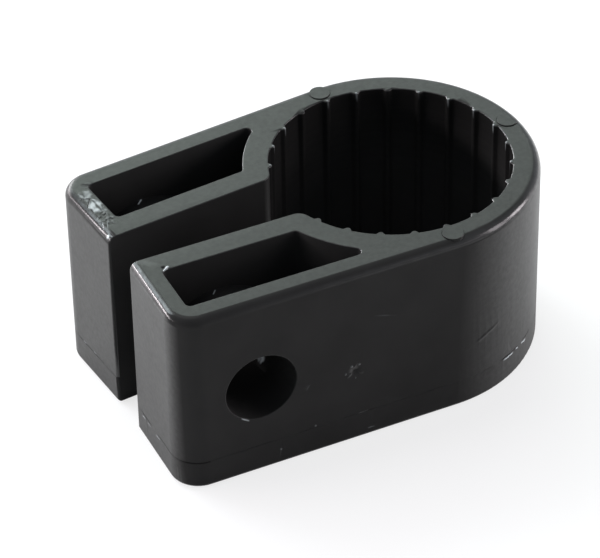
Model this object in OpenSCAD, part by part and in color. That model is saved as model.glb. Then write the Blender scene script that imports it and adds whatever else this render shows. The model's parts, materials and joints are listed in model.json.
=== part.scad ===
// One-hole cable clamp, moulded in one piece: a split ring with a ribbed bore and two hollow legs.
// It lies on its flat side. Z runs along the cable, X points from the legs towards the ring's back.
// The origin is on the ring's axis, on the underside. Each leg is drawn straight, then leans in.

/* [Ring] */
// Bore diameter over the tips of the grip ribs
bore_d = 22.2; // [18:0.2:34]
// Thickness of the ring, from the bore between the ribs to the outside
ring_wall = 2.55; // [2:0.05:3.5]
// Height of the clamp along the cable
height = 19.5; // [16:0.5:30]

/* [Grip ribs] */
// Number of ribs round the bore, one of them opposite the slot
rib_count = 21; // [5:2:21]
// Angle from one rib to the next
rib_pitch = 15.5; // [9:0.5:15.5]
// Height of a rib above the bore
rib_h = 0.35; // [0.2:0.05:0.5]
// Width of a rib at its tip
rib_tip_w = 0.3; // [0.2:0.05:0.5]
// Width of a rib at its foot
rib_foot_w = 0.85; // [0.6:0.05:1.2]

/* [Legs] */
// Length of the legs past the ring
leg_reach = 14.1; // [12:0.1:24]
// Width of the slot before the legs lean in
slot_w = 7; // [6:0.1:9]
// Angle by which each leg leans in
toe_in = 2.9; // [0:0.1:4]
// Radius of the upright outer corners at the legs' ends
end_corner_r = 2.8; // [2:0.1:4]
// Radius of the upright edges at the slot's mouth
mouth_r = 0.3; // [0.2:0.1:1]
// Radius of the upright edges where the slot meets the bore
lip_r = 1.2; // [0.6:0.1:1.6]

/* [Pockets] */
// Thickness of the walls round a pocket and of the boss round the fixing hole
wall = 2.4; // [1.8:0.1:2.8]
// Thickness of the wall at a leg's end
end_wall = 2.2; // [1.6:0.1:3]
// Thickness of the floor under a pocket
floor_h = 2.4; // [1.6:0.1:4]
// Radius of a pocket's upright corners
pocket_r = 0.5; // [0.3:0.1:0.8]
// Height above the hole's axis to which the boss joins the leg's end wall
boss_rise = 3.5; // [2:0.5:3.5]

/* [Fixing hole] */
// Diameter of the fixing hole across both legs
hole_d = 7; // [4:0.5:8]
// Distance of the fixing hole from the legs' ends
hole_inset = 7.4; // [6.5:0.1:9]

/* [Edges] */
// Radius of the outer edge round the top
top_r = 0.9; // [0.4:0.1:1.6]
// Radius of the outer edge round the foot
foot_r = 0.4; // [0.2:0.1:1]

/* [Ejector marks] */
// Diameter of the round marks on the ring's top
mark_d = 2.1; // [1.4:0.1:2.4]
// Distance of a mark's centre from the ring's outside
mark_inset = 1.35; // [1.25:0.05:1.6]
// Depth of the marks below the top
mark_depth = 0.06; // [0.03:0.01:0.2]
// Angle of the two side marks from the ring's back
mark_angle = 93; // [60:1:110]

/* [Hidden] */
$fn = 96;
// Run-out of a cut past the surface that it opens
clear = 1;
valley_r = bore_d / 2 + rib_h;
ring_r = valley_r + ring_wall;
slot_half = slot_w / 2;
leg_len = ring_r + leg_reach;
pocket_ring_r = valley_r + wall;
pocket_in = slot_half + wall;
pocket_out = ring_r - wall;
pocket_end = leg_len - end_wall;
hole_x = leg_len - hole_inset;
hole_z = height / 2;
boss_r = hole_d / 2 + wall;
mark_r = ring_r - mark_inset;
last_rib = (rib_count - 1) / 2;

// The centre of a circle of radius r that touches the line y = line and the outside of the circle
// of radius round about the origin, on the legs' side; way is 1 above the line and -1 below it.
function touch(line, way, round, r) =
    let (y = line + way * r)
    [-sqrt(pow(round + r, 2) - y * y), y];

// What rounding takes off a square corner at the centre of its arc, in the first quadrant.
module square_corner(r) {
    difference() {
        square(r + clear);
        circle(r);
    }
}

// What rounding takes off the corner between the line y = line and the outside of a round wall.
module ring_corner(line, way, round, r) {
    centre = touch(line, way, round, r);
    sharp = [-sqrt(round * round - line * line), line];
    difference() {
        polygon([
            centre,
            [centre[0], line - way * clear],
            sharp + [clear, -way * clear],
            centre * (round - clear) / (round + r)
        ]);
        translate(centre)
            circle(r);
    }
}

// Section of the body's rim, reaching outwards from x = 0, with both outer edges rounded.
module rim_section(reach) {
    difference() {
        square([reach, height]);
        translate([reach - top_r, height - top_r])
            square_corner(top_r);
        translate([reach - foot_r, foot_r])
            mirror([0, 1])
                square_corner(foot_r);
    }
}

module both_sides() {
    children();
    mirror([0, 1, 0])
        children();
}

module leaning() {
    rotate(toe_in)
        children();
}

// The ring's back half, from one leg to the other.
module ring_back() {
    rotate_extrude(angle = 180 + 2 * toe_in, start = -90 - toe_in)
        rim_section(ring_r);
}

// One leg before it leans in: its outer side, the rounded corner and the end.
module leg_block() {
    run = leg_len - end_corner_r;
    translate([-run, slot_half, 0])
        rotate([90, 0, 90])
            linear_extrude(run)
                rim_section(ring_r - slot_half);
    translate([-run, ring_r - end_corner_r, 0])
        rotate_extrude(angle = 90, start = 90)
            rim_section(end_corner_r);
    translate([-run, slot_half, 0])
        rotate([90, 0, 180])
            linear_extrude(ring_r - end_corner_r - slot_half)
                rim_section(end_corner_r);
}

// Rounding of the leg's two upright edges along the slot.
module slot_edges() {
    translate([0, 0, -clear])
        linear_extrude(height + 2 * clear) {
            ring_corner(slot_half, 1, valley_r, lip_r);
            translate([mouth_r - leg_len, slot_half + mouth_r])
                rotate(180)
                    square_corner(mouth_r);
        }
}

module bore() {
    translate([0, 0, -clear])
        linear_extrude(height + 2 * clear)
            difference() {
                circle(valley_r);
                for (k = [-last_rib : last_rib])
                    rotate(k * rib_pitch)
                        rib();
            }
}

// A grip rib on the +X side; its foot starts inside the ring's wall.
module rib() {
    root_r = valley_r + rib_h;
    tip_r = valley_r - rib_h;
    root_w = 2 * rib_foot_w - rib_tip_w;
    polygon([
        [root_r, -root_w / 2],
        [root_r, root_w / 2],
        [tip_r, rib_tip_w / 2],
        [tip_r, -rib_tip_w / 2]
    ]);
}

// Outline of a pocket: even walls to the slot, the outside, the end and the ring.
module pocket_outline() {
    difference() {
        translate([-pocket_end, pocket_in])
            square([pocket_end, pocket_out - pocket_in]);
        circle(pocket_ring_r);
        ring_corner(pocket_in, 1, pocket_ring_r, pocket_r);
        ring_corner(pocket_out, -1, pocket_ring_r, pocket_r);
        translate([pocket_r - pocket_end, pocket_in + pocket_r])
            rotate(180)
                square_corner(pocket_r);
        translate([pocket_r - pocket_end, pocket_out - pocket_r])
            rotate(90)
                square_corner(pocket_r);
    }
}

// Arched boss that carries the fixing hole across the pockets, standing on their floors.
// A shoulder at the leg's end joins it to the wall there, with no narrow gap between them.
module hole_boss() {
    shoulder_w = boss_r - sqrt(boss_r * boss_r - boss_rise * boss_rise);
    translate([-hole_x, ring_r, 0])
        rotate([90, 0, 0])
            linear_extrude(2 * ring_r) {
                translate([0, hole_z])
                    circle(boss_r);
                translate([-boss_r, 0]) {
                    square([2 * boss_r, hole_z]);
                    square([shoulder_w, hole_z + boss_rise]);
                }
            }
}

module pockets() {
    difference() {
        both_sides()
            leaning()
                translate([0, 0, floor_h])
                    linear_extrude(height)
                        pocket_outline();
        hole_boss();
    }
}

module fixing_hole() {
    translate([-hole_x, 0, hole_z])
        rotate([90, 0, 0])
            cylinder(h = 2 * (ring_r + clear), d = hole_d, center = true);
}

// A round pin of the given height at each ejector mark, standing on the level z.
module ejector_pins(z, h) {
    for (a = [-mark_angle, 0, mark_angle])
        rotate(a)
            translate([mark_r, 0, z])
                cylinder(h = h, d = mark_d);
}

// The body's outer form; the ejector marks are sunk in the flat top and stand flat on the round edge.
module outer_form() {
    mark_z = height - mark_depth;
    difference() {
        union() {
            ring_back();
            both_sides()
                leaning()
                    leg_block();
        }
        ejector_pins(mark_z, clear);
    }
    ejector_pins(height - top_r, top_r - mark_depth);
}

module clamp_body() {
    color("#343532")
        difference() {
            outer_form();
            bore();
            both_sides()
                leaning()
                    slot_edges();
            pockets();
            fixing_hole();
        }
}

clamp_body();
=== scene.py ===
"""Looks of a moulded cable clamp: soft edges, mould marks and satin black plastic."""

import json
import logging
import math
from dataclasses import dataclass, field
from enum import Enum
from typing import ClassVar, Iterable

import bmesh
import bpy
from mathutils import Matrix, Vector, noise
from mathutils.bvhtree import BVHTree

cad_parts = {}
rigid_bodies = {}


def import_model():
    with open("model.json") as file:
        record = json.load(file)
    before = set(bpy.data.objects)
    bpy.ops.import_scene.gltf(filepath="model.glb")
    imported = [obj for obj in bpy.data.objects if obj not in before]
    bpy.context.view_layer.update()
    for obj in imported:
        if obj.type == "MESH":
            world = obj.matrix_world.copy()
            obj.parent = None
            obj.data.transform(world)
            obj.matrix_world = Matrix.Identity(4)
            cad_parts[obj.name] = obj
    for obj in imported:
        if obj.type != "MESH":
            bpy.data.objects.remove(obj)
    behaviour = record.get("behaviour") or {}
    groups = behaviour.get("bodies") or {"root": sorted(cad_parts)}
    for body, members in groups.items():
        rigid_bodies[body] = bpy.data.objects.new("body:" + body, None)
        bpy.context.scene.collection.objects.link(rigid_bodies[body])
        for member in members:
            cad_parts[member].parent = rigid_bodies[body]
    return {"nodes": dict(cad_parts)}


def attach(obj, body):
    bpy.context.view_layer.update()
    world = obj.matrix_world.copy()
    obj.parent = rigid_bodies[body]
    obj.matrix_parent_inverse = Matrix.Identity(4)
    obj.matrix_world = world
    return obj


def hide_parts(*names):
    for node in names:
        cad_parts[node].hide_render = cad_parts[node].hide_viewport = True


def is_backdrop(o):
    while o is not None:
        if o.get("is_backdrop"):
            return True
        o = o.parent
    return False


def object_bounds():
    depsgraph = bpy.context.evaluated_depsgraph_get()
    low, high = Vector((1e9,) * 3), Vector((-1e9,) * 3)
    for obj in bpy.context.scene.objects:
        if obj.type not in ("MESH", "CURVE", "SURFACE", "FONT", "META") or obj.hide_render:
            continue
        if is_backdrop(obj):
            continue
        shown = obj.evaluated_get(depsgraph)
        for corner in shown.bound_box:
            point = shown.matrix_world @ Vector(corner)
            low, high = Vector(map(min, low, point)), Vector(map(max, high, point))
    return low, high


LOG = logging.getLogger("cable_clamp")
MM = 0.001
SNAP = 0.0005 * MM  # a point this near to a cut lies on it
UPRIGHT = 0.3  # largest upward part of an upright wall's direction
BODY_NODE = "clamp_body"

Colour = tuple[float, float, float]
Point = tuple[float, float, float]
Span = tuple[float, float]
Mesh = bmesh.types.BMesh
Face = bmesh.types.BMFace
Edge = bmesh.types.BMEdge
Vert = bmesh.types.BMVert
Socket = bpy.types.NodeSocket
Value = float | tuple[float, ...] | Socket


class Mask(Enum):
    """Names of the vertex and face attributes that the finish reads."""

    # pale colour of torn and rubbed plastic, and painted highlights where rims, rib tips and seam
    # flash glint
    SCUFF = "pale_wear_and_glint"
    RIM = "rim"
    # painted light and shade: a face's tone is scaled by it in the hollows and along the seam's
    # dark stretch
    SHADE = "shade"
    DULL = "dull"


@dataclass(frozen=True)
class NodeTree:
    """A material's nodes, with short ways to add and join them.

    Attributes:
        tree: Blender's node tree.
    """

    tree: bpy.types.NodeTree

    def add(
        self, kind: str, inputs: dict[str | int, Value] | None = None, **settings: str | int
    ) -> bpy.types.Node:
        """Adds a node.

        Args:
            kind: What Blender calls the node, without the leading ShaderNode.
            inputs: What its inputs get, by their names or numbers.
            **settings: The node's own settings.

        Returns:
            The node.
        """
        node = self.tree.nodes.new(f"ShaderNode{kind}")
        for name, value in settings.items():
            setattr(node, name, value)
        for name, value in (inputs or {}).items():
            self.feed(node.inputs[name], value)
        return node

    def feed(self, socket: Socket, value: Value) -> None:
        """Sets an input, or links it.

        Args:
            socket: The input.
            value: Its value, or the socket that gives it.
        """
        if isinstance(value, Socket):
            self.tree.links.new(value, socket)
        else:
            socket.default_value = value

    def attribute(self, mask: Mask) -> Socket:
        """Reads an attribute of the mesh."""
        return self.add("Attribute", attribute_name=mask.value).outputs["Fac"]

    def noise(self, size: float, detail: float) -> Socket:
        """Adds a noise pattern.

        Args:
            size: Size of the pattern's largest features, in metres.
            detail: Number of finer layers in the pattern.

        Returns:
            The socket with the pattern's value.
        """
        place = self.add("TexCoord").outputs["Object"]
        inputs = {"Vector": place, "Scale": 1 / size, "Detail": detail}
        return self.add("TexNoise", inputs).outputs["Fac"]

    def ramp(self, value: Socket, start: Span, end: Span) -> Socket:
        """Changes the range of a value.

        Args:
            value: Socket with the value.
            start: Low and high end of the range that is taken in.
            end: What those two become.

        Returns:
            The socket with the result.
        """
        inputs = {"Value": value, "From Min": start[0], "From Max": start[1]}
        inputs |= {"To Min": end[0], "To Max": end[1]}
        return self.add("MapRange", inputs).outputs["Result"]

    def combine(self, operation: str, first: Socket, second: Socket) -> Socket:
        """Makes one value of two, by an operation as Blender names it."""
        return self.add("Math", {0: first, 1: second}, operation=operation).outputs[0]

    def mix(self, share: Socket, low: Value, high: Value) -> Socket:
        """Mixes two colours.

        Args:
            share: Socket that gives the second colour's share.
            low: First colour.
            high: Second colour.

        Returns:
            The socket with the mixed colour.
        """
        node = self.add("Mix", {"Factor": share}, data_type="RGBA")
        colours = [socket for socket in node.inputs if socket.type == "RGBA"]
        for socket, value in zip(colours, (low, high)):
            self.feed(socket, value)
        return next(socket for socket in node.outputs if socket.type == "RGBA")


@dataclass(frozen=True)
class SatinPlastic:
    """Black satin plastic as it comes out of a mould.

    Attributes:
        tone: Colour of the plastic.
        cloud_tones: Shares of that colour between which it changes in clouds.
        pale_wear_and_glint_colour: Colour where the plastic was torn or rubbed, and of the painted
            highlights on glinting spots.
        roughness: Roughness at the low and at the high end of those clouds.
        views: Turns of the surface, from 0 to 1, that count as seen from in front and at a glance.
        gloss: Level of the gloss where the surface is seen from in front and at a glance.
        patches: Part of the noise over which the gloss changes in patches.
        patch_gloss: Shares of the gloss between which it changes.
        rubs: Part of the noise over which the polish on the softened edges changes.
        rub_polish: Shares of the polish between which it changes.
        skins: Strength of the outer skin's gloss on plain walls and on polished edges.
        skin_roughness: Roughness of that skin.
        grain: Size of the mould's fine grain, in metres.
        grain_depth: Depth of that grain, in metres.
        cloud: Size of the clouds, in metres.
        mottle: Size of the patches, in metres.
        details: Number of finer layers in the grain, the clouds and the patches.
    """

    tone: Colour = (0.0185, 0.0182, 0.0178)
    cloud_tones: Span = (0.8, 1.2)
    pale_wear_and_glint_colour: Colour = (0.6, 0.65, 0.66)
    roughness: Span = (0.34, 0.46)
    views: Span = (0.32, 0.55)
    gloss: Span = (0.0, 0.42)
    patches: Span = (0.3, 0.7)
    patch_gloss: Span = (0.8, 1.2)
    rubs: Span = (0.3, 0.65)
    rub_polish: Span = (0.5, 1.2)
    skins: Span = (0.1, 0.8)
    skin_roughness: float = 0.2
    grain: float = 0.22 * MM
    grain_depth: float = 0.006 * MM
    cloud: float = 4 * MM
    mottle: float = 0.45 * MM
    details: tuple[float, float, float] = (2.0, 3.0, 2.0)

    def material(self) -> bpy.types.Material:
        """Makes the node material.

        Returns:
            The finished material.
        """
        made = bpy.data.materials.new("satin_black_plastic")
        made.use_nodes = True
        nodes = NodeTree(made.node_tree)
        sizes = (self.grain, self.cloud, self.mottle)
        grain, clouds, patches = map(nodes.noise, sizes, self.details)
        clean = nodes.ramp(nodes.attribute(Mask.DULL), (0, 1), (1, 0))
        bump = nodes.add("Bump", {"Distance": self.grain_depth, "Height": grain})
        looks = {
            "Base Color": self._colour(nodes, clouds),
            "Roughness": nodes.ramp(clouds, (0, 1), self.roughness),
            "Specular IOR Level": nodes.combine("MULTIPLY", self._gloss(nodes, patches), clean),
            "Coat Weight": nodes.combine("MULTIPLY", self._skin(nodes, patches), clean),
            "Coat Roughness": self.skin_roughness,
            "Normal": bump.outputs["Normal"],
        }
        shader = made.node_tree.nodes["Principled BSDF"]
        for name, value in looks.items():
            nodes.feed(shader.inputs[name], value)
        return made

    def _colour(self, nodes: NodeTree, clouds: Socket) -> Socket:
        """Makes the cloudy tone, with painted light and shade in the hollows and along the seam's
        dark stretch, and pale where the plastic is torn and where highlights are painted.

        Args:
            nodes: The material's nodes.
            clouds: Socket with the clouds' pattern.

        Returns:
            The socket with the colour.
        """
        low, high = ((*(share * c for c in self.tone), 1) for share in self.cloud_tones)
        inputs = {0: nodes.mix(clouds, low, high), "Scale": nodes.attribute(Mask.SHADE)}
        shaded = nodes.add("VectorMath", inputs, operation="SCALE").outputs[0]
        return nodes.mix(nodes.attribute(Mask.SCUFF), shaded, (*self.pale_wear_and_glint_colour, 1))

    def _gloss(self, nodes: NodeTree, patches: Socket) -> Socket:
        """Makes the gloss, which is patchy and strongest at a glance.

        Args:
            nodes: The material's nodes.
            patches: Socket with the patches' pattern.

        Returns:
            The socket with the gloss's level.
        """
        turn = nodes.add("LayerWeight").outputs["Facing"]
        level = nodes.ramp(turn, self.views, self.gloss)
        uneven = nodes.ramp(patches, self.patches, self.patch_gloss)
        return nodes.combine("MULTIPLY", level, uneven)

    def _skin(self, nodes: NodeTree, patches: Socket) -> Socket:
        """Makes the outer skin's gloss, which is strongest where handling has polished it.

        Args:
            nodes: The material's nodes.
            patches: Socket with the patches' pattern.

        Returns:
            The socket with the skin's strength.
        """
        uneven = nodes.ramp(patches, self.rubs, self.rub_polish)
        rubbed = nodes.combine("MULTIPLY", nodes.attribute(Mask.RIM), uneven)
        return nodes.ramp(rubbed, (0, 1), self.skins)


class Side(Enum):
    """The two legs, by the sign of their Y."""

    NEAR = -1
    FAR = 1


@dataclass(frozen=True)
class Seat:
    """Where a worn spot sits on the moulding.

    Attributes:
        centre: Middle of the spot, in metres.
        outward: Direction out of the surface.
        along: Direction of the spot's length, square to outward.
    """

    centre: Vector
    outward: Vector
    along: Vector


@dataclass(frozen=True)
class Leg:
    """Coordinates of one leg: along it from the bore's axis, out to its side, and up.

    The places of its seats are in millimetres, and a seat's lie is the direction of its length.

    Attributes:
        side: Which leg it is.
        toe_in: Angle by which the leg leans in, in degrees.
        reach: Distance of the leg's end from the bore's axis, in millimetres.
        breadth: Distance of the leg's outer side from the middle, in millimetres.
        height: Height of the leg, in millimetres.
    """

    side: Side
    toe_in: float = 2.9
    reach: float = 28.1
    breadth: float = 14.0
    height: float = 19.5

    @classmethod
    def beside(cls, point: Vector) -> "Leg":
        """Picks the leg on whose side of the middle a point of the part lies."""
        return cls(Side.FAR if point.y > 0 else Side.NEAR)

    def way(self, along: float, out: float, up: float) -> Vector:
        """Turns a direction of the leg into one of the part.

        Args:
            along: Share along the leg, away from the ring.
            out: Share towards the leg's outer side.
            up: Share upwards.

        Returns:
            The direction in the part's frame.
        """
        lean = Matrix.Rotation(math.radians(self.toe_in), 3, "Z")
        turned = lean @ Vector((-along, out, up))
        return Vector((turned.x, self.side.value * turned.y, turned.z))

    def point(self, along: float, out: float, up: float) -> Vector:
        """Turns a place on the leg, in millimetres, into a point of the part, in metres."""
        return self.way(along, out, up) * MM

    def place(self, point: Vector) -> Vector:
        """Turns a point of the part into a place on the leg.

        Args:
            point: A point in the part's frame, in metres.

        Returns:
            Its distances along the leg, towards the outer side and up, in millimetres.
        """
        lean = Matrix.Rotation(-math.radians(self.toe_in), 3, "Z")
        turned = lean @ Vector((point.x, self.side.value * point.y, point.z)) / MM
        return Vector((-turned.x, turned.y, turned.z))

    def on_top(self, along: float, out: float, lie: Span = (0, 1)) -> Seat:
        """Gives a seat on the leg's top, with a lie along the leg and out to its side."""
        length = self.way(lie[0], lie[1], 0).normalized()
        return Seat(self.point(along, out, self.height), Vector((0, 0, 1)), length)

    def on_side(self, along: float, up: float, lie: Span = (1, 0)) -> Seat:
        """Gives a seat on the leg's outer side, with a lie along the leg and up."""
        length = self.way(lie[0], 0, lie[1]).normalized()
        return Seat(self.point(along, self.breadth, up), self.way(0, 1, 0), length)

    def on_end(self, out: float, up: float, lie: Span = (1, 0)) -> Seat:
        """Gives a seat on the leg's end, with a lie out to the leg's side and up."""
        length = self.way(0, lie[0], lie[1]).normalized()
        return Seat(self.point(self.reach, out, up), self.way(1, 0, 0), length)


@dataclass(frozen=True)
class Ring:
    """Coordinates of the ring: the angle round it from its back, and up.

    Attributes:
        radius: Radius of the ring's outside, in millimetres.
        tip_radius: Radius of the circle on which the ribs' tips lie, in millimetres.
        rib_pitch: Angle from one rib to the next, in degrees.
        height: Height of the ring, in millimetres.
        edge_radius: Radius of the rounded edge round the ring's top, in millimetres.
        bore_reach: Distance from the axis within which the bore's walls lie, in millimetres.
        facet_slack: Largest gap between the ring's round and its flat facets, in metres.
    """

    radius: float = 14.0
    tip_radius: float = 11.1
    rib_pitch: float = 15.5
    height: float = 19.5
    edge_radius: float = 0.9
    bore_reach: float = 11.5
    facet_slack: float = 0.01 * MM

    def on_side(self, angle: float, up: float, lie: Span = (1, 0)) -> Seat:
        """Gives a seat on the ring's outside.

        Args:
            angle: Angle from the ring's back, in degrees.
            up: Height above the underside, in millimetres.
            lie: Direction of the spot's length, round the ring and upwards.

        Returns:
            The seat.
        """
        away = Matrix.Rotation(math.radians(angle), 3, "Z") @ Vector((1, 0, 0))
        length = Vector((-away.y * lie[0], away.x * lie[0], lie[1])).normalized()
        centre = (away * self.radius + Vector((0, 0, up))) * MM
        return Seat(centre, away, length)

    def flat_reach(self) -> float:
        """Gives the distance from the axis at which the flat top ends, in metres."""
        return (self.radius - self.edge_radius) * MM

    def edge_height(self, reach: float) -> float:
        """Gives the height of the top and of the rounded edge round it.

        Args:
            reach: Distance from the ring's axis, in metres.

        Returns:
            The height above the underside, in metres.
        """
        past = max(0.0, reach - self.flat_reach())
        bend = self.edge_radius * MM
        return self.height * MM - bend + math.sqrt(max(0.0, bend**2 - past**2))

    def round_out(self, mesh: Mesh) -> None:
        """Moves the points that lie on the ring's flat facets out to its true round.

        Args:
            mesh: The moulding's mesh.
        """
        radius = self.radius * MM
        for vert in mesh.verts:
            reach = vert.co.xy.length
            if vert.co.x > 0 and abs(reach - radius) < self.facet_slack:
                vert.co.xy *= radius / reach

    def on_rib(self, number: int) -> Seat:
        """Gives a seat on the upper end of a grip rib.

        Args:
            number: Number of the rib, counted from the one at the ring's back.

        Returns:
            The seat.
        """
        turn = Matrix.Rotation(math.radians(number * self.rib_pitch), 3, "Z")
        tip = 0.1  # from the rib's tip to the middle of the spot, in millimetres
        centre = turn @ Vector((self.tip_radius + tip, 0, self.height)) * MM
        return Seat(centre, Vector((0, 0, 1)), turn @ Vector((1, 0, 0)))

    def has_in_bore(self, face: Face) -> bool:
        """Tells whether a face is part of the bore's upright wall."""
        reach = face.calc_center_median().xy.length
        return abs(face.normal.z) < UPRIGHT and reach < self.bore_reach * MM


@dataclass(frozen=True)
class FixingHole:
    """Coordinates of the fixing hole and of the bosses round it.

    Attributes:
        across: Place of the hole's axis along X, in millimetres.
        height: Height of the hole's axis, in millimetres.
        radius: Radius of the hole, in millimetres.
        boss_radius: Radius of the bosses' arches, in millimetres.
        slack: Depth of the hole's wall behind that radius, in millimetres.
        lengthwise: Largest share of the hole's axis in the direction of a face on its wall.
    """

    across: float = -20.7
    height: float = 9.75
    radius: float = 3.5
    boss_radius: float = 5.9
    slack: float = 0.05
    lengthwise: float = 0.5

    def on_boss(self, angle: float, along: float, lie: Span = (0, 1)) -> Seat:
        """Gives a seat on the arch of a boss.

        Args:
            angle: Angle from the arch's crest towards the ring, in degrees.
            along: Place along Y, in millimetres.
            lie: Direction of the spot's length, round the arch and along Y.

        Returns:
            The seat.
        """
        turn = Matrix.Rotation(math.radians(angle), 3, "Y")
        outward = turn @ Vector((0, 0, 1))
        length = (turn @ Vector((lie[0], lie[1], 0))).normalized()
        axis = Vector((self.across, along, self.height))
        return Seat((axis + outward * self.boss_radius) * MM, outward, length)

    def on_wall(self, angle: float, along: float) -> Seat:
        """Gives a seat on the hole's wall, with the spot's length along the hole.

        Args:
            angle: Angle from the hole's top towards the ring, in degrees.
            along: Place along Y, in millimetres.

        Returns:
            The seat.
        """
        away = Matrix.Rotation(math.radians(angle), 3, "Y") @ Vector((0, 0, 1))
        axis = Vector((self.across, along, self.height))
        return Seat((axis + away * self.radius) * MM, -away, Vector((0, 1, 0)))

    def is_lined_by(self, face: Face) -> bool:
        """Tells whether a face is part of the hole's wall.

        Args:
            face: A face of the moulding.

        Returns:
            True close to the hole's axis, but not on the walls that the hole goes through.
        """
        middle = face.calc_center_median() / MM
        off_axis = math.hypot(middle.x - self.across, middle.z - self.height)
        return off_axis < self.radius + self.slack and abs(face.normal.y) < self.lengthwise


class Feature:
    """Something that moulding or handling has left on the clamp, or light and shade painted onto
    it.
    """

    def apply(self, mesh: Mesh) -> None:
        """Works the feature into the moulding's mesh."""
        raise NotImplementedError


@dataclass(frozen=True)
class Relief(Feature):
    """A small spot, cut as a fine grid into the surface and then raised or sunk; its pale colour
    is wear on worn spots and a painted highlight on glinting ones.

    Attributes:
        seat: Where the spot sits.
        half_length: Half the spot's length, in millimetres.
        half_width: Half the spot's width, in millimetres.
        depth: Largest rise or, if negative, depth of the spot, in millimetres.
        wear_and_glint: Share of the pale colour, from 0 to 1, which is torn plastic on worn spots
            and a painted highlight on glinting ones.
        seed: Place in the noise that roughens the spot.
        cell: Width of the grid's cells, in millimetres.
    """

    seat: Seat
    half_length: float
    half_width: float
    depth: float
    wear_and_glint: float = 0.0
    seed: float = 0.0
    cell: float = 0.08

    FADE: ClassVar[float] = 5  # one over the outer share of a spot in which it fades
    FACING: ClassVar[float] = 0.4  # least cosine between a face and the spot's direction
    INNER: ClassVar[float] = 0.999  # share of a spot up to which a face counts as on it
    SEED_STEP: ClassVar[float] = 7.3  # distance in the noise from one seed to the next

    def shape(self, u: float, v: float) -> tuple[float, float]:
        """Gives the shares of depth and wear at a place from -1 to 1 along and across the spot."""
        raise NotImplementedError

    def apply(self, mesh: Mesh) -> None:
        """Cuts the grid and shapes it.

        Args:
            mesh: The moulding's mesh.
        """
        pale = mesh.verts.layers.float[Mask.SCUFF.value]
        for vert in corners(self._grid(mesh)):
            u, v = self._local(vert.co)
            fade = min(1.0, self.FADE * (1 - abs(u))) * min(1.0, self.FADE * (1 - abs(v)))
            if fade > 0:
                rise, wear_and_glint = self.shape(u, v)
                vert[pale] = max(vert[pale], min(1.0, fade * wear_and_glint * self.wear_and_glint))
                vert.co += self.seat.outward * (fade * rise * self.depth * MM)

    def rough(self, u: float, v: float, fine: float) -> float:
        """Gives noise from about -1 to 1, with so many fine features per millimetre."""
        depth = self.SEED_STEP * self.seed
        return noise.noise(Vector((u * self.half_length, v * self.half_width, depth)) * fine)

    def _local(self, place: Vector) -> tuple[float, float]:
        """Gives a point's place on the spot.

        Args:
            place: A point of the mesh.

        Returns:
            Its shares of the half length and of the half width.
        """
        gap = (place - self.seat.centre) / MM
        across = self.seat.outward.cross(self.seat.along)
        return gap.dot(self.seat.along) / self.half_length, gap.dot(across) / self.half_width

    def _covers(self, face: Face) -> bool:
        """Tells whether a face lies on the spot, at least in part.

        Args:
            face: A face of the mesh.

        Returns:
            True where the face faces outward and overlaps the spot's rectangle.
        """
        if face.normal.dot(self.seat.outward) < self.FACING:
            return False
        if abs((face.verts[0].co - self.seat.centre).dot(face.normal)) > self.half_length * MM:
            return False
        us, vs = zip(*(self._local(vert.co) for vert in face.verts))
        return all(min(s) < self.INNER and max(s) > -self.INNER for s in (us, vs))

    def _grid(self, mesh: Mesh) -> list[Face]:
        """Cuts the surface into the grid.

        Args:
            mesh: The moulding's mesh.

        Returns:
            The faces on the spot.
        """
        across = self.seat.outward.cross(self.seat.along)
        ways = ((self.seat.along, self.half_length), (across, self.half_width))
        borders = [(way, side * half) for way, half in ways for side in (-1, 1)]
        inner = []
        for way, half in ways:
            steps = max(2, round(2 * half / self.cell))
            inner += [(way, half * (2 * k / steps - 1)) for k in range(1, steps)]
        faces = [face for face in mesh.faces if self._covers(face)]
        for way, shift in borders + inner:
            faces = cut_faces(mesh, faces, self.seat.centre + way * shift * MM, way)
            if (way, shift) in borders:
                faces = [face for face in faces if self._covers(face)]
        return faces


@dataclass(frozen=True)
class GateScar(Relief):
    """The rough stub that stays where the moulding was cut from its sprue."""

    OUTLINE: ClassVar[Span] = (0.95, 0.45)  # where the stub ends and where it is whole
    LIFT: ClassVar[float] = 0.3  # share of the depth by which the stub is raised as a whole
    PALENESS: ClassVar[Span] = (-0.5, 0.3)  # noise at which the torn plastic is dark and pale

    def shape(self, u: float, v: float) -> tuple[float, float]:
        """Gives the stub's form.

        Args:
            u: Place along the spot, from -1 to 1.
            v: Place across the spot, from -1 to 1.

        Returns:
            The rise as a share of the depth, and the share of the pale colour.
        """
        ragged = 0.5 * self.rough(u, v, fine=1.3) + 0.15 * self.rough(v, u, fine=4.0)
        torn = smooth_step(*self.OUTLINE, math.hypot(u, v) + ragged)
        lumps = self.rough(u, v, fine=2.0) + 0.3 * self.rough(v, u, fine=4.0)
        pale = smooth_step(*self.PALENESS, self.rough(v, u, fine=2.2))
        return torn * (self.LIFT + lumps), torn * pale


@dataclass(frozen=True)
class Fraying(Relief):
    """Fine strokes that a knife left, side by side across the spot."""

    OUTLINE: ClassVar[Span] = (1.0, 0.4)  # where the strokes end and where they are whole
    PALENESS: ClassVar[Span] = (0.0, 0.6)  # rises at which a stroke is dark and pale

    def shape(self, u: float, v: float) -> tuple[float, float]:
        """Gives the strokes' form.

        Args:
            u: Place along the spot, from -1 to 1.
            v: Place across the spot, from -1 to 1.

        Returns:
            The rise as a share of the depth, and the share of the wear.
        """
        ragged = 0.4 * self.rough(u, v, fine=1.5)
        inside = smooth_step(*self.OUTLINE, math.hypot(u, v) + ragged)
        stroke = noise.noise(Vector((6 * u + 3 * v, 2.2 * v - u, self.seed)))
        stroke += 0.6 * self.rough(v, u, fine=4.0)
        return inside * stroke, inside * smooth_step(*self.PALENESS, stroke)


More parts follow.
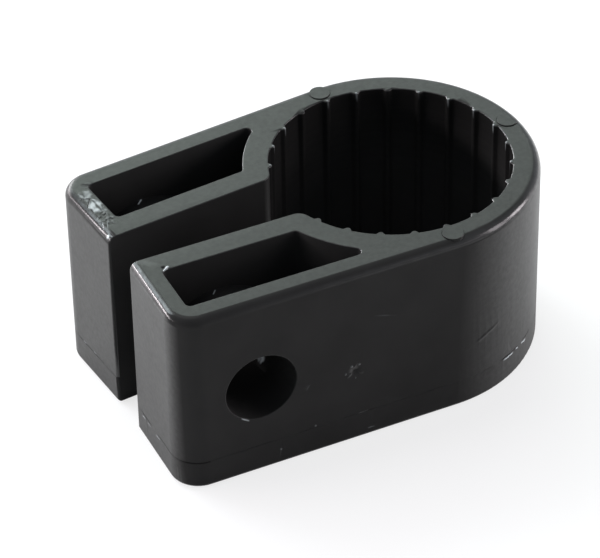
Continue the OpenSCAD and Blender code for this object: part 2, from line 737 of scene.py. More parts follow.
@dataclass(frozen=True)
class StarPit(Relief):
    """A small dent with short rays round it.

    Attributes:
        rays: Number of rays.
    """

    rays: int = 6

    PIT: ClassVar[float] = 0.35  # width of the dent
    RAY_START: ClassVar[Span] = (0.15, 0.4)  # where the rays begin and where they are whole
    RAY_END: ClassVar[Span] = (0.95, 0.4)  # where the rays end and where they are whole
    RAY_RISE: ClassVar[float] = 0.5  # height of the rays as a share of the dent's depth
    SHARPNESS: ClassVar[int] = 8  # how narrow the rays are
    PALENESS: ClassVar[Span] = (0.45, 0.8)  # rises at which a ray is dark and pale

    def shape(self, u: float, v: float) -> tuple[float, float]:
        """Gives the dent's form.

        Args:
            u: Place along the spot, from -1 to 1.
            v: Place across the spot, from -1 to 1.

        Returns:
            The rise as a share of the depth, and the share of the wear.
        """
        reach = math.hypot(u, v)
        turn = math.atan2(v, u) + 0.5 * self.rough(u, v, fine=1.0)
        ray = max(0.0, math.cos(self.rays * turn / 2)) ** self.SHARPNESS
        ray *= smooth_step(*self.RAY_START, reach) * smooth_step(*self.RAY_END, reach)
        ray *= 0.6 + self.rough(u, v, fine=2.0)
        return self.RAY_RISE * ray - bell(reach, self.PIT), smooth_step(*self.PALENESS, ray)


@dataclass(frozen=True)
class Scratch(Relief):
    """A straight scratch with a raised lip on each side."""

    GROOVE: ClassVar[float] = 0.25  # width of the groove
    LIP: ClassVar[float] = 0.2  # width of a lip
    LIP_PLACE: ClassVar[float] = 0.55  # distance of a lip from the groove's middle
    LIP_RISE: ClassVar[float] = 0.5  # height of a lip as a share of the groove's depth

    def shape(self, u: float, v: float) -> tuple[float, float]:
        """Gives the scratch's form.

        Args:
            u: Place along the scratch, from -1 to 1.
            v: Place across the scratch, from -1 to 1.

        Returns:
            The rise as a share of the depth, and the share of the wear.
        """
        press = (1 - u * u) * (0.7 + 0.6 * self.rough(u, 0, fine=1.3))
        groove = bell(v, self.GROOVE)
        lip = bell(abs(v) - self.LIP_PLACE, self.LIP)
        return press * (self.LIP_RISE * lip - groove), press * groove


@dataclass(frozen=True)
class Burr(Relief):
    """A raised sliver of plastic."""

    CREST: ClassVar[float] = 0.4  # width of the sliver's crest
    ENDS: ClassVar[Span] = (1.0, 0.5)  # where the sliver ends and where it is whole

    def shape(self, u: float, v: float) -> tuple[float, float]:
        """Gives the sliver's rise and share of the pale colour at a place from -1 to 1 along and
        across it.
        """
        crest = bell(v, self.CREST) * smooth_step(*self.ENDS, abs(u))
        return crest * (0.8 + 0.5 * self.rough(u, v, fine=3.0)), crest


@dataclass(frozen=True)
class Speck(Relief):
    """A small round lump or, with a negative depth, a small round pit."""

    OUTLINE: ClassVar[Span] = (0.9, 0.1)  # where the lump ends and where it is whole

    def shape(self, u: float, v: float) -> tuple[float, float]:
        """Gives the lump's form.

        Args:
            u: Place along the spot, from -1 to 1.
            v: Place across the spot, from -1 to 1.

        Returns:
            The rise as a share of the depth, and the share of the pale colour.
        """
        ragged = 0.3 * self.rough(u, v, fine=3.0)
        lump = smooth_step(*self.OUTLINE, math.hypot(u, v) + ragged)
        return lump, lump


@dataclass(frozen=True)
class PartingSeam(Feature):
    """The fine groove round the outer walls where the mould's parts met.

    Attributes:
        level: Height of the seam above the underside, in metres.
        width: Width of the groove, in metres.
        depth: Largest depth of the groove, in metres.
        step: Distance between the groove's points, in metres.
        facet: Largest width of the round walls' facets, in metres.
        run: Length over which the groove deepens and fades, in metres.
        swells: Values of the noise at which the groove has faded and has its full depth.
        seed: Place in the noise that breaks the groove up.
        shaded_stretch: Middle of the stretch in which the groove is deep and has painted shade.
        shaded_stretch_reach: Half the length of that stretch, in metres.
        shaded_stretch_core: Share of that half in which the painted shade is darkest.
        groove_painted_shade: Tone in that stretch, as a share of the plastic's: painted shade in
            the groove.
        clearance: Distance from a wall at which the view away from it starts, in metres.
    """

    level: float = 2.95 * MM
    width: float = 0.16 * MM
    depth: float = 0.1 * MM
    step: float = 0.25 * MM
    facet: float = 1.5 * MM
    run: float = 1.8 * MM
    swells: Span = (-0.35, 0.3)
    seed: float = 3.0
    shaded_stretch: Vector = field(default_factory=lambda: Leg(Side.NEAR).point(25.2, 14.0, 2.95))
    shaded_stretch_reach: float = 3.6 * MM
    shaded_stretch_core: float = 0.6
    groove_painted_shade: float = 0.4
    clearance: float = 0.05 * MM

    def apply(self, mesh: Mesh) -> None:
        """Cuts the seam's band, sinks its middle line and paints shade into the groove along its
        dark stretch.

        Args:
            mesh: The moulding's mesh.
        """
        faces = self._outer_walls(mesh)
        lines = [self.level + side * self.width / 2 for side in (-1, 0, 1)]
        for line in lines:
            faces = cut_faces(mesh, faces, (0, 0, line), (0, 0, 1))
        heights = [vert.co.z for vert in corners(faces)]
        self._divide(mesh, faces, lines, [min(heights), max(heights)])
        Ring().round_out(mesh)
        mesh.normal_update()
        walls = self._outer_walls(mesh)
        shade = mesh.faces.layers.float[Mask.SHADE.value]
        # painted shade: the groove's faces along the dark stretch get a darker tone
        for face in walls:
            if all(abs(v.co.z - self.level) < self.width / 2 + SNAP for v in face.verts):
                face[shade] = 1 - (1 - self.groove_painted_shade) * self._in_shaded_stretch(face.calc_center_median())
        for vert in corners(walls):
            if abs(vert.co.z - self.level) < 2 * SNAP:
                place = Vector((*vert.co.xy, 0)) / self.run
                swell = noise.noise(place + Vector((0, 0, self.seed)))
                share = max(smooth_step(*self.swells, swell), self._in_shaded_stretch(vert.co))
                vert.co -= vert.normal * (self.depth * share)

    def _in_shaded_stretch(self, place: Vector) -> float:
        """Gives 1 in the middle of the seam's stretch with painted shade, fading to 0 at its ends.
        """
        gap = (place - self.shaded_stretch).length
        return smooth_step(self.shaded_stretch_reach, self.shaded_stretch_core * self.shaded_stretch_reach, gap)

    def _outer_walls(self, mesh: Mesh) -> list[Face]:
        """Finds the upright outer walls at the seam's level.

        Args:
            mesh: The moulding's mesh.

        Returns:
            The upright faces there from which no other part of the moulding is in view.
        """
        mesh.faces.ensure_lookup_table()
        tree = BVHTree.FromBMesh(mesh)
        found = []
        for face in mesh.faces:
            rises = [vert.co.z - self.level for vert in face.verts]
            crossed = min(rises) < self.width and max(rises) > -self.width
            if crossed and abs(face.normal.z) < UPRIGHT:
                start = Vector((*face.calc_center_median().xy, self.level))
                start += face.normal * self.clearance
                if tree.ray_cast(start, face.normal)[0] is None:
                    found.append(face)
        return found

    def _divide(
        self,
        mesh: Mesh,
        faces: list[Face],
        lines: list[float],
        borders: list[float],
    ) -> None:
        """Divides the seam's three lines, and the round walls' facets, into short steps.

        Args:
            mesh: The moulding's mesh.
            faces: The faces that the lines cross.
            lines: Heights of the lines.
            borders: Heights at which the walls begin and end.
        """
        groups: dict[int, list[Edge]] = {}
        for edge in {edge for face in faces for edge in face.edges}:
            start, end = (vert.co.z for vert in edge.verts)
            length = edge.calc_length()
            cuts = lines + borders if length < self.facet else lines
            level = abs(start - end) < SNAP
            if level and any(abs(start - line) < SNAP for line in cuts):
                groups.setdefault(round(length / self.step), []).append(edge)
        for parts, edges in groups.items():
            if parts > 1:
                bmesh.ops.subdivide_edges(mesh, edges=edges, cuts=parts - 1, use_grid_fill=True)


@dataclass(frozen=True)
class Polish(Feature):
    """The polish that handling has given to the rounded edges round the top.

    Attributes:
        depth: Depth below the top within which an edge is polished, in metres.
        edge_tilts: Tilts between which a face belongs to a rounded edge, in degrees.
        begin_tilts: Tilts of the edge at which the polish begins and is full, in degrees.
        end_tilts: Tilts of the edge at which the polish ends and is full, in degrees.
        leg_side: Distance from the middle beyond which a leg's side edge lies, in millimetres.
        leg_end: Distance from the bore's axis beyond which a leg's end lies, in millimetres.
        side_share: Share of the polish on the legs' side edges.
        side_run: Distances from the bore's axis between which it grows to 1, in millimetres.
        corner_runs: Distances from the middle, in millimetres, between which the polish on each
            leg's end grows from 0 to 1.
    """

    depth: float = 2 * MM
    edge_tilts: Span = (5, 85)
    begin_tilts: Span = (12, 30)
    end_tilts: Span = (88, 70)
    leg_side: float = 12.8
    leg_end: float = 25.3
    side_share: float = 0.15
    side_run: Span = (12.0, -2.0)
    corner_runs: dict[Side, Span] = field(
        default_factory=lambda: {Side.NEAR: (12.2, 11.6), Side.FAR: (11.3, 10.7)}
    )

    def apply(self, mesh: Mesh) -> None:
        """Marks the polished points.

        Args:
            mesh: The moulding's mesh.
        """
        rim = mesh.verts.layers.float[Mask.RIM.value]
        top = max(vert.co.z for vert in mesh.verts)
        least, most = self.edge_tilts
        for vert in mesh.verts:
            tilts = [tilt_of(face.normal) for face in vert.link_faces]
            if vert.co.z > top - self.depth and min(tilts) > least and max(tilts) < most:
                tilt = tilt_of(vert.normal)
                worn = smooth_step(*self.begin_tilts, tilt) * smooth_step(*self.end_tilts, tilt)
                vert[rim] = worn * self._share(vert.co)

    def _share(self, point: Vector) -> float:
        """Tells how far an edge is polished.

        Args:
            point: A point on a rounded edge.

        Returns:
            0 on the legs' outer corners, little along their sides, and 1 elsewhere.
        """
        leg = Leg.beside(point)
        place = leg.place(point)
        if place.x > self.leg_end:
            return smooth_step(*self.corner_runs[leg.side], place.y)
        if place.y > self.leg_side:
            return self.side_share + (1 - self.side_share) * smooth_step(*self.side_run, place.x)
        return 1.0


@dataclass(frozen=True)
class EjectorMarks(Feature):
    """The round marks of the ejector pins, which stand a little above the top.

    Attributes:
        level: Height of the marks on the solid, in metres.
        slack: Largest distance of a mark's points from that level, in metres.
        rise: Height by which the marks stand above that level, in metres.
        groove: Width of the fine groove round a mark, in metres.
        slope: Width of the slope from that groove up to the mark, in metres.
        back: Place along X beyond which a mark lies on the ring's back, in metres.
        bends: Distances past the flat top at which that mark is bent, in metres.
        run: Distance past the flat top over which it comes down to the edge, in metres.
        groove_rise: Height of its groove above the rounded edge, in metres.
    """

    level: float = 19.44 * MM
    slack: float = 0.002 * MM
    rise: float = 0.16 * MM
    groove: float = 0.04 * MM
    slope: float = 0.03 * MM
    back: float = 10 * MM
    bends: tuple[float, ...] = (0.0, 0.2 * MM, 0.4 * MM)
    run: float = 0.6 * MM
    groove_rise: float = 0.01 * MM

    def apply(self, mesh: Mesh) -> None:
        """Lets the marks stand above the top.

        Args:
            mesh: The moulding's mesh.
        """
        marks = [
            face
            for face in mesh.faces
            if face.normal.z > 0
            and all(abs(vert.co.z - self.level) < self.slack for vert in face.verts)
        ]
        for width, rise in ((self.groove, 0.0), (self.slope, self.rise)):
            made = bmesh.ops.inset_individual(
                mesh, faces=marks, thickness=width, depth=rise, use_even_offset=True
            )
            for edge in {edge for face in made["faces"] for edge in face.edges}:
                edge.smooth = False
        self._bend(mesh, [face for face in marks if face.calc_center_median().x > self.back])
        mesh.normal_update()

    def _bend(self, mesh: Mesh, faces: list[Face]) -> None:
        """Bends the outer part of the mark on the ring's back down along the rounded edge.

        Args:
            mesh: The moulding's mesh.
            faces: The mark's flat face.
        """
        ring = Ring()
        flat = ring.flat_reach()
        stand = self.level + self.rise - ring.height * MM
        for past in self.bends:
            faces = cut_faces(mesh, faces, (flat + past, 0, 0), (1, 0, 0))
        top = corners(faces)
        near = corners(face for vert in top for face in vert.link_faces)
        around = corners(face for vert in near for face in vert.link_faces) - top
        for vert in top:
            reach = vert.co.xy.length
            if reach > flat:
                lift = stand * smooth_step(flat + self.run, flat, reach)
                vert.co.z = ring.edge_height(reach) + lift
        for vert in around:
            limit = ring.edge_height(vert.co.xy.length) + self.groove_rise
            vert.co.z = min(vert.co.z, limit)


@dataclass(frozen=True)
class HollowsPaintedLight(Feature):
    """The painted light and shade in the tone of the walls in the bore, in the pockets and in the
    fixing hole.

    Attributes:
        band: Height of the bands into which the bore's walls are divided, in metres.
        bore_painted_shades: Tone of the bore's walls at the top and deep down, as shares of the
            plastic's: painted shade near the top and painted light deep down.
        bore_heights: Heights between which that tone changes, in millimetres.
        hole_painted_shade: Tone of the fixing hole's wall, as a share of the plastic's: painted
            shade.
        hole_reach: Distance from the middle within which that wall lies, in millimetres.
        pocket_painted_light: Tone of the pockets' walls, as a share of the plastic's: painted
            light.
        boss_painted_shade: Tone of the bosses' arches, which face up, as a share of the plastic's:
            painted shade.
        pocket: Where a pocket begins and ends along the leg, towards its outer side and
            upwards, in millimetres.
        pocket_reach: Distance from the bore's axis beyond which it lies, in millimetres.
        dullness: Share of the gloss that the walls of the pockets and of the hole lack.
    """

    band: float = 1.0 * MM
    bore_painted_shades: Span = (0.5, 1.15)
    bore_heights: Span = (19.5, 8.0)
    hole_painted_shade: float = 0.8
    hole_reach: float = 13.9
    pocket_painted_light: float = 1.2
    boss_painted_shade: float = 0.85
    pocket: tuple[Span, Span, Span] = ((7.4, 25.95), (5.85, 11.65), (2.0, 19.4))
    pocket_reach: float = 13.8
    dullness: float = 0.9

    def apply(self, mesh: Mesh) -> None:
        """Divides the bore's walls into level bands and gives each wall its tone, with painted
        light and shade.

        Args:
            mesh: The moulding's mesh.
        """
        ring = Ring()
        top = ring.height * MM
        faces = [face for face in mesh.faces if ring.has_in_bore(face)]
        for number in range(1, math.ceil(top / self.band)):
            faces = cut_faces(mesh, faces, (0, 0, top - number * self.band), (0, 0, 1))
        shade = mesh.faces.layers.float[Mask.SHADE.value]
        dull = mesh.faces.layers.float[Mask.DULL.value]
        for face in mesh.faces:
            face[shade], face[dull] = self._look(face)

    def _look(self, face: Face) -> tuple[float, float]:
        """Gives the look of a face.

        Args:
            face: A face of the moulding.

        Returns:
            Its tone as a share of the plastic's, which holds the painted light and shade, and the
            share of the gloss that it lacks.
        """
        middle = face.calc_center_median()
        place = Leg.beside(middle).place(middle)
        if Ring().has_in_bore(face):
            # painted shade near the bore's top, painted light deep down
            low, high = self.bore_painted_shades
            return low + (high - low) * smooth_step(*self.bore_heights, place.z), 1.0
        if FixingHole().is_lined_by(face) and place.y < self.hole_reach:
            return self.hole_painted_shade, self.dullness
        if middle.xy.length > self.pocket_reach * MM and is_within(place, self.pocket):
            arch = face.normal.z > UPRIGHT
            return self.boss_painted_shade if arch else self.pocket_painted_light, self.dullness
        return 1.0, 0.0


@dataclass
class ClampBody:
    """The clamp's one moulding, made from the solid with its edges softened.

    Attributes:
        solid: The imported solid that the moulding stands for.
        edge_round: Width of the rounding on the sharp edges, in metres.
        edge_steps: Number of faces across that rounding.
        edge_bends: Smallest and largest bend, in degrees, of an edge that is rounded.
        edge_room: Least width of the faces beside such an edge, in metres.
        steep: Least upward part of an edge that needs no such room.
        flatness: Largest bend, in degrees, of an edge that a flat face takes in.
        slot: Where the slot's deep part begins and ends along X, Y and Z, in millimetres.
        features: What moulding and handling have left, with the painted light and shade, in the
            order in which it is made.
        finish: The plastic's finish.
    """

    solid: bpy.types.Object
    edge_round: float = 0.1 * MM
    edge_steps: int = 2
    edge_bends: Span = (45, 130)
    edge_room: float = 0.4 * MM
    steep: float = 0.9
    flatness: float = 0.5
    slot: tuple[Span, Span, Span] = ((-30, -14), (-5, 5), (1, 18))
    features: tuple[Feature, ...] = ()
    finish: SatinPlastic = field(default_factory=SatinPlastic)

    def build(self) -> bpy.types.Object:
        """Models the moulding.

        Returns:
            The moulding's object, in place of the solid.
        """
        mesh = bmesh.new()
        mesh.from_mesh(self.solid.data)
        bmesh.ops.remove_doubles(mesh, verts=mesh.verts[:], dist=2 * SNAP)
        bmesh.ops.recalc_face_normals(mesh, faces=mesh.faces[:])
        flat = math.radians(self.flatness)
        bmesh.ops.dissolve_limit(
            mesh, angle_limit=flat, verts=mesh.verts[:], edges=mesh.edges[:]
        )
        for mask in (Mask.SCUFF, Mask.RIM):
            mesh.verts.layers.float.new(mask.value)
        for mask in (Mask.SHADE, Mask.DULL):
            mesh.faces.layers.float.new(mask.value)
        self._soften(mesh)
        for feature in self.features:
            feature.apply(mesh)
        data = bpy.data.meshes.new("moulded_clamp")
        mesh.to_mesh(data)
        mesh.free()
        data.shade_smooth()
        piece = bpy.data.objects.new("moulded_clamp", data)
        bpy.context.scene.collection.objects.link(piece)
        even = piece.modifiers.new("flat_faces_stay_flat", "WEIGHTED_NORMAL")
        even.keep_sharp = True
        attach(piece, "root")
        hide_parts(self.solid.name)
        return piece

    def dress(self, piece: bpy.types.Object) -> None:
        """Gives the moulding its finish."""
        piece.data.materials.clear()
        piece.data.materials.append(self.finish.material())

    def _soften(self, mesh: Mesh) -> None:
        """Rounds the sharp edges.

        Args:
            mesh: The moulding's mesh.
        """
        low, high = map(math.radians, self.edge_bends)
        bent = [e for e in mesh.edges if low < e.calc_face_angle(0) < high]
        edges = [e for e in bent if self._roomy(e) and not self._in_slot(e)]
        for edge in set(bent).difference(edges):
            edge.smooth = False
        bmesh.ops.bevel(
            mesh,
            geom=edges,
            offset=self.edge_round,
            offset_type="OFFSET",
            segments=self.edge_steps,
            profile=0.5,
            affect="EDGES",
            clamp_overlap=False,
            material=-1,
        )
        mesh.normal_update()

    def _in_slot(self, edge: Edge) -> bool:
        """Tells whether an edge lies deep in the slot, where rims stay sharp."""
        return is_within((edge.verts[0].co + edge.verts[1].co) / 2 / MM, self.slot)

    def _roomy(self, edge: Edge) -> bool:
        """Tells whether the faces beside an edge are wide enough for its rounding.

        Args:
            edge: A sharp edge of the moulding.

        Returns:
            True for an upright edge, and for one whose faces reach far enough from it.
        """
        start = edge.verts[0].co
        along = (edge.verts[1].co - start).normalized()
        widths = [
            max((vert.co - start).cross(along).length for vert in face.verts)
            for face in edge.link_faces
        ]
        return abs(along.z) > self.steep or min(widths) > self.edge_room


@dataclass(frozen=True)
class Softbox:
    """A soft lamp that faces the clamp.

    Attributes:
        name: Name of the lamp.
        azimuth: Bearing of the lamp, in degrees; 0 is in front, 90 to the right.
        elevation: Height of the lamp above the horizon, in degrees.
        distance: Distance from the clamp, in metres.
        size: Width and height, in metres.
        radiance: Brightness of its face, where 1 is white.
        tint: Colour of the light.
    """

    name: str
    azimuth: float
    elevation: float
    distance: float
    size: Span
    radiance: float
    tint: Colour = (1.0, 1.0, 1.0)

    def build(self, aim: Vector) -> bpy.types.Object:
        """Makes the lamp.

        Args:
            aim: Point that the lamp faces.

        Returns:
            The lamp's object.
        """
        width, height = self.size
        lamp = bpy.data.lights.new(self.name, "AREA")
        lamp.shape = "RECTANGLE"
        lamp.size = width
        lamp.size_y = height
        lamp.energy = self.radiance * math.pi * width * height
        lamp.color = self.tint
        away = bearing(self.azimuth, self.elevation)
        placed = bpy.data.objects.new(self.name, lamp)
        placed.location = aim + away * self.distance
        placed.rotation_euler = away.to_track_quat("Z", "Y").to_euler()
        bpy.context.scene.collection.objects.link(placed)
        return placed


@dataclass
class Studio:
    """A plain white floor under soft lamps.

    Attributes:
        aim: Point that the lamps face.
        floor_size: Half the width of the floor, in metres.
        floor_drop: Depth of the floor below the clamp's underside, in metres.
        floor_tone: Colour of the floor under its light.
        floor_glow: Brightness that the floor shows by itself.
        shade: Share of the shadow that the shown floor keeps.
        painted_shadow_reach: Distance within which the clamp dims the floor's own brightness by
            ambient occlusion, in metres: a painted shadow seen in reflections.
        painted_shadow_samples: Number of looks with which that painted shadow is measured.
        ambient: Brightness of the surroundings.
        ambient_tint: Colour of the surroundings' light.
        lamps: The soft lamps.
    """

    aim: Vector
    floor_size: float = 4.0
    floor_drop: float = 0.02 * MM
    floor_tone: Colour = (0.8, 0.8, 0.8)
    floor_glow: float = 0.72
    shade: float = 0.24
    painted_shadow_reach: float = 30 * MM
    painted_shadow_samples: int = 8
    ambient: float = 0.36
    ambient_tint: Colour = (0.92, 1.0, 1.1)
    lamps: tuple[Softbox, ...] = (
        Softbox("back_right_softbox", 150, 40, 0.7, (0.4, 0.25), 2.7, (0.84, 1.0, 0.9)),
        Softbox("back_left_softbox", 175, 40, 0.7, (0.4, 0.25), 3.5, (0.84, 1.0, 0.9)),
        Softbox("left_wash", -160, 40, 0.7, (0.35, 0.3), 8.0, (0.86, 0.96, 1.0)),
        Softbox("left_softbox", -130, 17, 0.7, (0.9, 0.07), 38.0, (1.0, 0.92, 0.95)),
        Softbox("back_strip", -174, 15, 0.7, (0.3, 0.1), 20.0),
        Softbox("right_strip", 73, 16, 0.7, (0.19, 0.26), 16.0, (1.0, 0.93, 0.96)),
        Softbox("front_right_strip", 52, 18, 0.7, (0.18, 0.38), 7.0, (1.0, 0.93, 0.96)),
        Softbox("front_strip", 30, 15, 0.7, (0.3, 0.06), 2.0, (1.0, 0.93, 0.96)),
        Softbox("top_softbox", 180, 68, 0.7, (0.4, 0.4), 3.0),
    )

    def build(self) -> None:
        """Makes the floor, the surroundings and the lamps."""
        scene = bpy.context.scene
        scene.view_settings.view_transform = "Standard"
        world = bpy.data.worlds.new("studio")
        world.use_nodes = True
        light = world.node_tree.nodes["Background"].inputs
        light["Strength"].default_value = self.ambient
        light["Color"].default_value = (*self.ambient_tint, 1)
        scene.world = world
        self._floor()
        for lamp in self.lamps:
            lamp.build(self.aim)

    def _floor(self) -> None:
        """Makes the floor."""
        mesh = bmesh.new()
        level = Matrix.Translation((0, 0, -self.floor_drop))
        bmesh.ops.create_grid(
            mesh, x_segments=1, y_segments=1, size=self.floor_size, matrix=level
        )
        data = bpy.data.meshes.new("floor")
        mesh.to_mesh(data)
        mesh.free()
        data.materials.append(self._floor_material())
        floor = bpy.data.objects.new("floor", data)
        bpy.context.scene.collection.objects.link(floor)
        floor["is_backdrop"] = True

    def _floor_material(self) -> bpy.types.Material:
        """Makes the floor's material, which shows white and keeps the clamp's shadow, with a
        painted shadow round the clamp in what the clamp reflects.

        Returns:
            The material.
        """
        made = bpy.data.materials.new("white_floor")
        made.use_nodes = True
        made.node_tree.nodes.clear()
        nodes = NodeTree(made.node_tree)
        path = nodes.add("LightPath").outputs
        seen = path["Is Camera Ray"]
        reach = {"Distance": self.painted_shadow_reach}
        # painted shadow: ambient occlusion dims the floor's glow near the clamp for all but camera
        # rays
        painted_shadow = nodes.add("AmbientOcclusion", reach, samples=self.painted_shadow_samples).outputs["AO"]
        bright = nodes.combine("MAXIMUM", seen, painted_shadow)
        glow = nodes.add("Emission", {"Color": bright, "Strength": self.floor_glow})
        shaded = nodes.add("BsdfDiffuse", {"Color": (*[self.shade] * 3, 1)})
        shown = nodes.add("AddShader", {0: shaded.outputs[0], 1: glow.outputs[0]})
        lit = nodes.add("BsdfDiffuse", {"Color": (*self.floor_tone, 1)})
        for name in ("Is Glossy Ray", "Is Transmission Ray"):
            seen = nodes.combine("MAXIMUM", seen, path[name])
        pick = nodes.add("MixShader", {0: seen, 1: lit.outputs[0], 2: shown.outputs[0]})
        nodes.add("OutputMaterial", {"Surface": pick.outputs[0]})
        return made


@dataclass(frozen=True)
class PhotoCamera:
    """A long-lens camera at the photograph's viewing angle.

    Attributes:
        azimuth: Bearing of the camera, in degrees; 0 looks along +Y.
        elevation: Height above the horizon, in degrees.
        roll: Turn about the line of sight, in degrees.
        distance: Distance from the point aimed at, in metres.
        aim: Point in the middle of the image, in metres.
        focal_px: Focal length in pixels of the image.
        image_w: Width of the image in pixels.
        sensor_w: Width of the sensor, in millimetres.
        clip: Nearest and farthest distance that it sees, as shares of its distance.
    """

    azimuth: float = -27.601
    elevation: float = 38.293
    roll: float = -1.165
    distance: float = 322.03 * MM
    aim: Point = (-10.175 * MM, -0.731 * MM, 9.736 * MM)
    focal_px: float = 3431.6
    image_w: float = 600.0
    sensor_w: float = 36.0
    clip: Span = (0.1, 100)

    def build(self) -> bpy.types.Object:
        """Makes the camera and sets it as the scene's own.

        Returns:
            The camera's object.
        """
        data = bpy.data.cameras.new("photo_camera")
        data.sensor_fit = "HORIZONTAL"
        data.sensor_width = self.sensor_w
        data.lens = self.focal_px * self.sensor_w / self.image_w
        data.clip_start, data.clip_end = (share * self.distance for share in self.clip)
        camera = bpy.data.objects.new("photo_camera", data)
        back = bearing(self.azimuth, self.elevation)
        turn = Matrix.Rotation(math.radians(self.roll), 4, "Z")
        upright = back.to_track_quat("Z", "Y").to_matrix().to_4x4()
        place = Matrix.Translation(Vector(self.aim) + back * self.distance)
        camera.matrix_world = place @ upright @ turn
        bpy.context.scene.collection.objects.link(camera)
        bpy.context.scene.camera = camera
        return camera


def smooth_step(low: float, high: float, value: float) -> float:
    """Rises smoothly from 0 at low to 1 at high, which may be the smaller one."""
    share = min(1.0, max(0.0, (value - low) / (high - low)))
    return share * share * (3 - 2 * share)


def bell(value: float, width: float) -> float:
    """Falls from 1 at 0 to almost nothing at twice the width, on both sides."""
    return math.exp(-((value / width) ** 2))


def tilt_of(way: Vector) -> float:
    """Gives the angle of a direction from straight up, in degrees."""
    return math.degrees(way.angle((0, 0, 1)))


def is_within(place: Vector, spans: tuple[Span, Span, Span]) -> bool:
    """Tells whether each of a place's three measures lies within its span."""
    return all(low < value < high for value, (low, high) in zip(place, spans))


def corners(faces: Iterable[Face]) -> set[Vert]:
    """Gathers the corners of faces, each of them once."""
    return {vert for face in faces for vert in face.verts}


def cut_faces(
    mesh: Mesh, faces: list[Face], through: Vector | Point, across: Vector | Point
) -> list[Face]:
    """Cuts faces along a plane.

    Args:
        mesh: Mesh that the faces belong to.
        faces: The faces.
        through: A point of the plane.
        across: Direction square to the plane.

    Returns:
        The faces, with those that lay across the plane in two.
    """
    edges = {edge for face in faces for edge in face.edges}
    geometry = [*corners(faces), *edges, *faces]
    made = bmesh.ops.bisect_plane(
        mesh, geom=geometry, dist=SNAP, plane_co=through, plane_no=across
    )
    return [item for item in made["geom"] if isinstance(item, Face)]


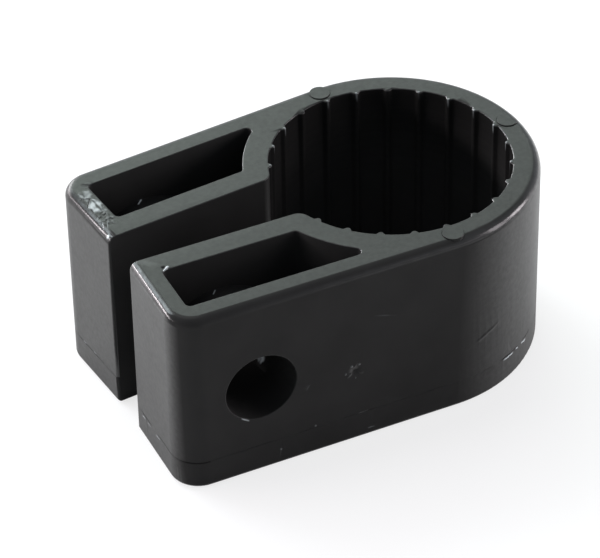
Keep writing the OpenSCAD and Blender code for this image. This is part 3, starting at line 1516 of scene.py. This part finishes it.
def worn_spots_and_glints() -> tuple[Relief, ...]:
    """Places the marks of moulding, cutting and handling, and the painted highlights where rims,
    rib tips and seam flash glint.

    Returns:
        The spots, on the legs and on the ring.
    """
    near, far, ring, hole = Leg(Side.NEAR), Leg(Side.FAR), Ring(), FixingHole()
    mouth = Seat(
        far.point(27.85, 4.0, 19.25), far.way(1, 0, 1).normalized(), far.way(0, 1, 0)
    )
    gate = (
        GateScar(far.on_top(26.75, 8.5), 1.35, 0.85, 0.05, 0.5, 2.0),
        GateScar(far.on_top(26.8, 10.4), 1.2, 0.8, 0.04, 0.22, 5.0),
        Scratch(far.on_top(27.08, 9.93, (0.85, 0.54)), 0.6, 0.14, 0.06, 0.0, 1.0),
        Scratch(far.on_top(27.08, 9.1, (0.85, -1.11)), 0.75, 0.14, 0.06, 0.0, 2.0),
        Fraying(far.on_top(26.85, 6.3), 1.4, 0.95, 0.05, 0.1, 1.0),
        Scratch(far.on_top(27.5, 5.7, (0.5, -1.4)), 0.8, 0.1, 0.03, 0.4, 3.0),
        Scratch(far.on_top(27.2, 5.3, (0.6, -1.2)), 0.6, 0.1, 0.03, 0.4, 4.0),
        GateScar(far.on_top(25.9, 11.75, (1, 0.3)), 0.7, 0.5, -0.07, 0.03, 3.0),
        Speck(mouth, 0.3, 0.25, 0.05, 1.0, 3.0),
    )
    burrs_and_glints = (
        Speck(near.on_top(25.55, 5.5), 0.3, 0.2, -0.12, 0.0, 1.0),
        Burr(near.on_top(25.42, 5.79, (0.79, 0.62)), 0.5, 0.22, 0.16, 1.0, 4.0, 0.05),
        # its pale colour is a painted highlight on the fixing hole's rim
        Burr(near.on_side(21.72, 6.57, (1.17, 0.81)), 0.55, 0.13, 0.05, 0.35, 2.0, 0.05),
        Burr(ring.on_side(-78.9, 7.4, (0.94, 0.35)), 1.7, 0.36, 0.035, 0.0, 2.0),
        # flash slivers on the parting seam, on the ring and the legs' ends; their pale colour is a
        # painted highlight where the flash glints
        Burr(ring.on_side(-67.0, 2.72), 0.9, 0.16, 0.08, 1.0, 1.0, 0.05),
        Burr(ring.on_side(-61.3, 2.8), 0.24, 0.14, 0.08, 1.0, 2.0, 0.05),
        Burr(ring.on_side(-55.6, 2.66, (1.0, -0.2)), 0.6, 0.16, 0.08, 1.0, 3.0, 0.05),
        Burr(near.on_end(5.2, 2.57), 0.4, 0.11, 0.05, 0.5, 1.0, 0.05),
        Burr(near.on_end(6.4, 2.6), 0.45, 0.1, 0.04, 0.3, 2.0, 0.05),
        Burr(near.on_end(8.45, 2.62), 0.5, 0.11, 0.05, 0.45, 3.0, 0.05),
        Burr(far.on_end(9.9, 2.95), 0.4, 0.1, 0.04, 0.4, 4.0, 0.05),
        Burr(far.on_end(7.8, 3.05), 0.3, 0.1, 0.04, 0.3, 5.0, 0.05),
        # raised slivers on the bosses; their pale colour is a painted glint in the pockets
        Burr(hole.on_boss(-5.0, 10.3, (0.5, 0.4)), 0.45, 0.14, 0.08, 1.0, 1.0, 0.05),
        Burr(hole.on_boss(-6.0, -5.2, (0.8, 0.8)), 0.4, 0.12, 0.05, 0.6, 2.0, 0.05),
        # no gate scar: a painted patch of light on the hole's wall, where light comes in through
        # the slot
        GateScar(hole.on_wall(124.0, -7.2), 0.75, 0.85, 0.02, 1.0, 9.0),
    )
    handling = (
        StarPit(near.on_side(10.65, 8.15, (0, 1)), 1.2, 1.1, 0.2, 0.06, 1.0),
        Speck(near.on_side(10.98, 8.85), 0.22, 0.16, 0.06, 0.15, 1.0, 0.05),
        Speck(near.on_side(10.22, 8.85), 0.2, 0.14, 0.06, 0.12, 2.0, 0.05),
        Speck(near.on_side(11.6, 8.2), 0.16, 0.22, 0.05, 0.05, 3.0, 0.05),
        Speck(near.on_side(10.6, 7.42), 0.13, 0.18, 0.05, 0.07, 4.0, 0.05),
        Scratch(near.on_side(9.78, 2.98), 0.5, 0.11, 0.03, 0.12, 2.0),
        Scratch(near.on_side(9.0, 0.85), 0.4, 0.1, 0.03, 0.15, 3.0),
        Scratch(near.on_side(15.4, 8.0, (-0.26, 0.41)), 0.4, 0.1, 0.02, 0.06, 4.0),
        Scratch(near.on_side(7.5, 13.6, (0.9, 0.3)), 1.3, 0.14, 0.02, 0.05, 3.0),
        Scratch(far.on_end(4.9, 9.5, (-0.62, 0.78)), 1.3, 0.12, 0.02, 0.06, 5.0),
        Speck(near.on_side(18.26, 1.75), 0.16, 0.16, 0.05, 0.12, 1.0, 0.05),
        Speck(near.on_side(14.73, 3.2), 0.15, 0.15, 0.05, 0.12, 2.0, 0.05),
    )
    # flash nibs on the ribs' upper ends; their pale colour is a painted glint on the rib tips
    tips = tuple(
        Speck(ring.on_rib(k), 0.2, 0.16, 0.04, 0.3, float(k), 0.06)
        for k in (-2, -1, 0, 1, 2, 3, 5, 6, 8, 9, 10)
    )
    return gate + burrs_and_glints + handling + tips


def bearing(azimuth: float, elevation: float) -> Vector:
    """Gives the direction from the clamp to a camera or a lamp.

    Args:
        azimuth: Bearing in degrees; 0 is in front, on the -Y side, and 90 is to the right.
        elevation: Height above the horizon, in degrees.

    Returns:
        The direction as a vector of length 1.
    """
    turn = math.radians(azimuth)
    rise = math.radians(elevation)
    level = math.cos(rise)
    return Vector((math.sin(turn) * level, -math.cos(turn) * level, math.sin(rise)))


def main() -> None:
    """Builds the clamp, the studio and the camera."""
    logging.basicConfig(level=logging.INFO, format="%(message)s")
    for old in list(bpy.data.objects):
        bpy.data.objects.remove(old)
    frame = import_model()
    cad_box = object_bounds()
    features = (Polish(), EjectorMarks(), HollowsPaintedLight(), PartingSeam(), *worn_spots_and_glints())
    clamp = ClampBody(frame["nodes"][BODY_NODE], features=features)
    piece = clamp.build()
    clamp.dress(piece)
    LOG.info("%s: %d faces", piece.name, len(piece.data.polygons))
    Studio(aim=(cad_box[0] + cad_box[1]) / 2).build()
    PhotoCamera().build()


if __name__ == "__main__":
    main()
